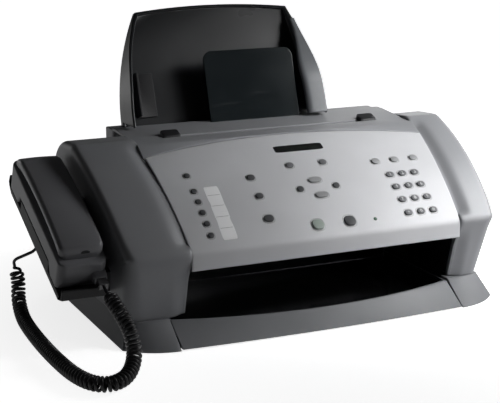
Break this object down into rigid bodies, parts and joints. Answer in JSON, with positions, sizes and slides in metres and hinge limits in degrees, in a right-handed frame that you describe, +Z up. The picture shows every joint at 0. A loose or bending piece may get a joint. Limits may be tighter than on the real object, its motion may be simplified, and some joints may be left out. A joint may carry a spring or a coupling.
{
  "type": "fax machine",
  "caption": "Desk fax machine with a curved lift-up key panel, arched rear paper tray, front stacker and a handset with curly cord on its left side.",
  "frame": {"origin": "on the table under the middle of the base, on the plane of the rest rim", "axes": "+X to the right as the user sees it, +Y to the back, +Z up"},
  "size_m": [0.4817, 0.3376, 0.2852],
  "materials": {
    "charcoal_case": "fine-grained charcoal moulding",
    "grey_case": "fine-grained grey moulding",
    "black_case": "fine-grained black moulding",
    "silver_case": "satin silver paint",
    "smoked_plastic": "smoked glossy plastic",
    "window_plastic": "dark glossy window",
    "label_card": "plain white card",
    "board": "green lacquer",
    "dark_key": "satin dark key",
    "start_key": "satin pale key",
    "white_plastic": "plain white moulding",
    "zinc_sheet": "zinc-plated sheet",
    "ground_steel": "ground steel",
    "soft_rubber": "matt rubber",
    "cord_jacket": "black cord jacket"
  },
  "bodies": {
    "housing": {"base_pan": "charcoal_case", "left_side_cover": "charcoal_case", "right_side_cover": "grey_case", "rear_cover": "black_case", "top_deck": "charcoal_case", "paper_tray": "charcoal_case", "document_support": "smoked_plastic", "print_frame": "zinc_sheet", "carriage_rod": "ground_steel", "drive_motor": "zinc_sheet", "handset_cradle": "charcoal_case", "rubber_feet": "soft_rubber", "rear_sockets": "black_case", "handset_cord": "cord_jacket", "base_plug": "smoked_plastic"},
    "panel": {"control_panel": "silver_case", "display_window": "window_plastic", "panel_board": "board", "key_label_insert": "label_card"},
    "handset": {"handset_back_shell": "charcoal_case", "handset_face_shell": "charcoal_case", "handset_plug": "smoked_plastic"},
    "hook": {"hook_plunger": "white_plastic"},
    "width_guide": {"paper_width_guide": "black_case"},
    "stacker": {"output_tray": "charcoal_case"},
    "carriage": {"print_carriage": "black_case"},
    "roller": {"feed_roller": "soft_rubber"},
    "pinion": {"drive_gear": "white_plastic"},
    "body_one_touch_key_1": {"one_touch_key_1": "dark_key"},
    "body_one_touch_key_2": {"one_touch_key_2": "dark_key"},
    "body_one_touch_key_3": {"one_touch_key_3": "dark_key"},
    "body_one_touch_key_4": {"one_touch_key_4": "dark_key"},
    "body_one_touch_key_5": {"one_touch_key_5": "dark_key"},
    "body_answer_mode_key": {"answer_mode_key": "dark_key"},
    "body_column_key_1": {"column_key_1": "dark_key"},
    "body_column_key_2": {"column_key_2": "dark_key"},
    "body_column_key_3": {"column_key_3": "dark_key"},
    "body_menu_key_left": {"menu_key_left": "dark_key"},
    "body_menu_key_right": {"menu_key_right": "dark_key"},
    "body_arrow_key_up": {"arrow_key_up": "dark_key"},
    "body_arrow_key_down": {"arrow_key_down": "dark_key"},
    "body_arrow_key_left": {"arrow_key_left": "dark_key"},
    "body_arrow_key_right": {"arrow_key_right": "dark_key"},
    "body_start_key": {"start_key": "start_key"},
    "body_stop_key": {"stop_key": "dark_key"},
    "body_function_key_1": {"function_key_1": "dark_key"},
    "body_function_key_2": {"function_key_2": "dark_key"},
    "body_function_key_3": {"function_key_3": "dark_key"},
    "body_dial_key_1": {"dial_key_1": "dark_key"},
    "body_dial_key_2": {"dial_key_2": "dark_key"},
    "body_dial_key_3": {"dial_key_3": "dark_key"},
    "body_dial_key_4": {"dial_key_4": "dark_key"},
    "body_dial_key_5": {"dial_key_5": "dark_key"},
    "body_dial_key_6": {"dial_key_6": "dark_key"},
    "body_dial_key_7": {"dial_key_7": "dark_key"},
    "body_dial_key_8": {"dial_key_8": "dark_key"},
    "body_dial_key_9": {"dial_key_9": "dark_key"},
    "body_dial_key_star": {"dial_key_star": "dark_key"},
    "body_dial_key_0": {"dial_key_0": "dark_key"},
    "body_dial_key_hash": {"dial_key_hash": "dark_key"}
  },
  "joints": [
    {"name": "panel_hinge", "type": "hinge", "parent": "housing", "child": "panel", "pos_m": [0, 0.01196, 0.16559], "axis": [-1, 0, 0], "range_deg": [0, 55]},
    {"name": "handset_lift", "type": "slide", "parent": "housing", "child": "handset", "axis": [0, -0.4067, 0.9135], "range_m": [0, 0.06], "deforming": ["handset_cord"]},
    {"name": "hook_travel", "type": "slide", "parent": "housing", "child": "hook", "axis": [0, -0.4067, 0.9135], "range_m": [0, 0.004]},
    {"name": "width_guide_slide", "type": "slide", "parent": "housing", "child": "width_guide", "axis": [1, 0, 0], "range_m": [0, 0.06]},
    {"name": "output_tray_slide", "type": "slide", "parent": "housing", "child": "stacker", "axis": [0, -1, 0], "range_m": [0, 0.06]},
    {"name": "carriage_slide", "type": "slide", "parent": "housing", "child": "carriage", "axis": [1, 0, 0], "range_m": [-0.14, 0.015]},
    {"name": "feed_roller_spin", "type": "hinge", "parent": "housing", "child": "roller", "pos_m": [0, 0.02, 0.046], "axis": [1, 0, 0], "continuous": true},
    {"name": "drive_gear_spin", "type": "hinge", "parent": "housing", "child": "pinion", "pos_m": [0.1345, 0.03327, 0.06899], "axis": [1, 0, 0], "continuous": true},
    {"name": "one_touch_key_1_press", "type": "slide", "parent": "panel", "child": "body_one_touch_key_1", "axis": [0, 0.5721, -0.8202], "range_m": [0, 0.0012], "stiffness_N_per_m": 250},
    {"name": "one_touch_key_2_press", "type": "slide", "parent": "panel", "child": "body_one_touch_key_2", "axis": [0, 0.5721, -0.8202], "range_m": [0, 0.0012], "stiffness_N_per_m": 250},
    {"name": "one_touch_key_3_press", "type": "slide", "parent": "panel", "child": "body_one_touch_key_3", "axis": [0, 0.5721, -0.8202], "range_m": [0, 0.0012], "stiffness_N_per_m": 250},
    {"name": "one_touch_key_4_press", "type": "slide", "parent": "panel", "child": "body_one_touch_key_4", "axis": [0, 0.5721, -0.8202], "range_m": [0, 0.0012], "stiffness_N_per_m": 250},
    {"name": "one_touch_key_5_press", "type": "slide", "parent": "panel", "child": "body_one_touch_key_5", "axis": [0, 0.5721, -0.8202], "range_m": [0, 0.0012], "stiffness_N_per_m": 250},
    {"name": "answer_mode_key_press", "type": "slide", "parent": "panel", "child": "body_answer_mode_key", "axis": [0, 0.5721, -0.8202], "range_m": [0, 0.0012], "stiffness_N_per_m": 250},
    {"name": "column_key_1_press", "type": "slide", "parent": "panel", "child": "body_column_key_1", "axis": [0, 0.5721, -0.8202], "range_m": [0, 0.0012], "stiffness_N_per_m": 250},
    {"name": "column_key_2_press", "type": "slide", "parent": "panel", "child": "body_column_key_2", "axis": [0, 0.5721, -0.8202], "range_m": [0, 0.0012], "stiffness_N_per_m": 250},
    {"name": "column_key_3_press", "type": "slide", "parent": "panel", "child": "body_column_key_3", "axis": [0, 0.5721, -0.8202], "range_m": [0, 0.0012], "stiffness_N_per_m": 250},
    {"name": "menu_key_left_press", "type": "slide", "parent": "panel", "child": "body_menu_key_left", "axis": [0, 0.5721, -0.8202], "range_m": [0, 0.0012], "stiffness_N_per_m": 250},
    {"name": "menu_key_right_press", "type": "slide", "parent": "panel", "child": "body_menu_key_right", "axis": [0, 0.5721, -0.8202], "range_m": [0, 0.0012], "stiffness_N_per_m": 250},
    {"name": "arrow_key_up_press", "type": "slide", "parent": "panel", "child": "body_arrow_key_up", "axis": [0, 0.5721, -0.8202], "range_m": [0, 0.0012], "stiffness_N_per_m": 250},
    {"name": "arrow_key_down_press", "type": "slide", "parent": "panel", "child": "body_arrow_key_down", "axis": [0, 0.5721, -0.8202], "range_m": [0, 0.0012], "stiffness_N_per_m": 250},
    {"name": "arrow_key_left_press", "type": "slide", "parent": "panel", "child": "body_arrow_key_left", "axis": [0, 0.5721, -0.8202], "range_m": [0, 0.0012], "stiffness_N_per_m": 250},
    {"name": "arrow_key_right_press", "type": "slide", "parent": "panel", "child": "body_arrow_key_right", "axis": [0, 0.5721, -0.8202], "range_m": [0, 0.0012], "stiffness_N_per_m": 250},
    {"name": "start_key_press", "type": "slide", "parent": "panel", "child": "body_start_key", "axis": [0, 0.5721, -0.8202], "range_m": [0, 0.0012], "stiffness_N_per_m": 250},
    {"name": "stop_key_press", "type": "slide", "parent": "panel", "child": "body_stop_key", "axis": [0, 0.5721, -0.8202], "range_m": [0, 0.0012], "stiffness_N_per_m": 250},
    {"name": "function_key_1_press", "type": "slide", "parent": "panel", "child": "body_function_key_1", "axis": [0, 0.5721, -0.8202], "range_m": [0, 0.0012], "stiffness_N_per_m": 250},
    {"name": "function_key_2_press", "type": "slide", "parent": "panel", "child": "body_function_key_2", "axis": [0, 0.5721, -0.8202], "range_m": [0, 0.0012], "stiffness_N_per_m": 250},
    {"name": "function_key_3_press", "type": "slide", "parent": "panel", "child": "body_function_key_3", "axis": [0, 0.5721, -0.8202], "range_m": [0, 0.0012], "stiffness_N_per_m": 250},
    {"name": "dial_key_1_press", "type": "slide", "parent": "panel", "child": "body_dial_key_1", "axis": [0, 0.5721, -0.8202], "range_m": [0, 0.0012], "stiffness_N_per_m": 250},
    {"name": "dial_key_2_press", "type": "slide", "parent": "panel", "child": "body_dial_key_2", "axis": [0, 0.5721, -0.8202], "range_m": [0, 0.0012], "stiffness_N_per_m": 250},
    {"name": "dial_key_3_press", "type": "slide", "parent": "panel", "child": "body_dial_key_3", "axis": [0, 0.5721, -0.8202], "range_m": [0, 0.0012], "stiffness_N_per_m": 250},
    {"name": "dial_key_4_press", "type": "slide", "parent": "panel", "child": "body_dial_key_4", "axis": [0, 0.5721, -0.8202], "range_m": [0, 0.0012], "stiffness_N_per_m": 250},
    {"name": "dial_key_5_press", "type": "slide", "parent": "panel", "child": "body_dial_key_5", "axis": [0, 0.5721, -0.8202], "range_m": [0, 0.0012], "stiffness_N_per_m": 250},
    {"name": "dial_key_6_press", "type": "slide", "parent": "panel", "child": "body_dial_key_6", "axis": [0, 0.5721, -0.8202], "range_m": [0, 0.0012], "stiffness_N_per_m": 250},
    {"name": "dial_key_7_press", "type": "slide", "parent": "panel", "child": "body_dial_key_7", "axis": [0, 0.5721, -0.8202], "range_m": [0, 0.0012], "stiffness_N_per_m": 250},
    {"name": "dial_key_8_press", "type": "slide", "parent": "panel", "child": "body_dial_key_8", "axis": [0, 0.5721, -0.8202], "range_m": [0, 0.0012], "stiffness_N_per_m": 250},
    {"name": "dial_key_9_press", "type": "slide", "parent": "panel", "child": "body_dial_key_9", "axis": [0, 0.5721, -0.8202], "range_m": [0, 0.0012], "stiffness_N_per_m": 250},
    {"name": "dial_key_star_press", "type": "slide", "parent": "panel", "child": "body_dial_key_star", "axis": [0, 0.5721, -0.8202], "range_m": [0, 0.0012], "stiffness_N_per_m": 250},
    {"name": "dial_key_0_press", "type": "slide", "parent": "panel", "child": "body_dial_key_0", "axis": [0, 0.5721, -0.8202], "range_m": [0, 0.0012], "stiffness_N_per_m": 250},
    {"name": "dial_key_hash_press", "type": "slide", "parent": "panel", "child": "body_dial_key_hash", "axis": [0, 0.5721, -0.8202], "range_m": [0, 0.0012], "stiffness_N_per_m": 250}
  ],
  "couplings": [
    {"joint": "hook_travel", "follows": "handset_lift", "ratio": 0.066667},
    {"joint": "drive_gear_spin", "follows": "feed_roller_spin", "ratio": -2.5}
  ]
}
